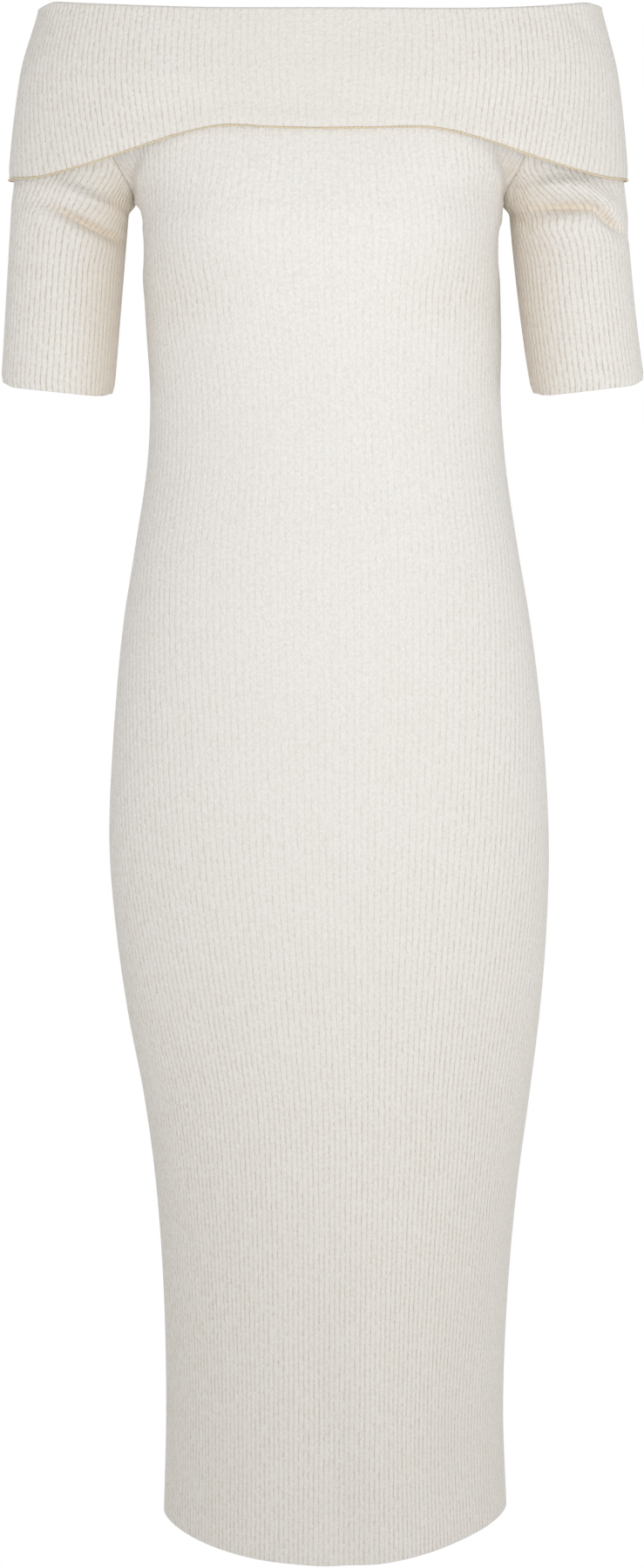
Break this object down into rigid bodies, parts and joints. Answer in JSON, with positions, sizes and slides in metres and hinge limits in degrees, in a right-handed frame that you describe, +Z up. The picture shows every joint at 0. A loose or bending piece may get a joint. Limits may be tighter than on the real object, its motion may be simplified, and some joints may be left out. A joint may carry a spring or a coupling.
{
  "type": "off-shoulder ribbed knit midi dress",
  "caption": "Close-fitting ribbed knit midi dress with elbow-length sleeves and a deep fold-over collar worn off the shoulders, filled out as worn.",
  "frame": {"origin": "middle of the neckline opening, level with the top of the fold at the shoulders, where the wearer's upper chest and arms hold the dress", "axes": "+Z up towards the wearer's head, -Y out of the front, +X towards the wearer's left arm"},
  "size_m": [0.4676, 0.2373, 1.1238],
  "materials": {
    "rib_knit": "soft brushed rib knit, matt ivory with warmer grooves"
  },
  "bodies": {
    "root": {"front": "rib_knit", "back": "rib_knit", "sleeve_left": "rib_knit", "sleeve_right": "rib_knit", "collar": "rib_knit"}
  },
  "joints": []
}
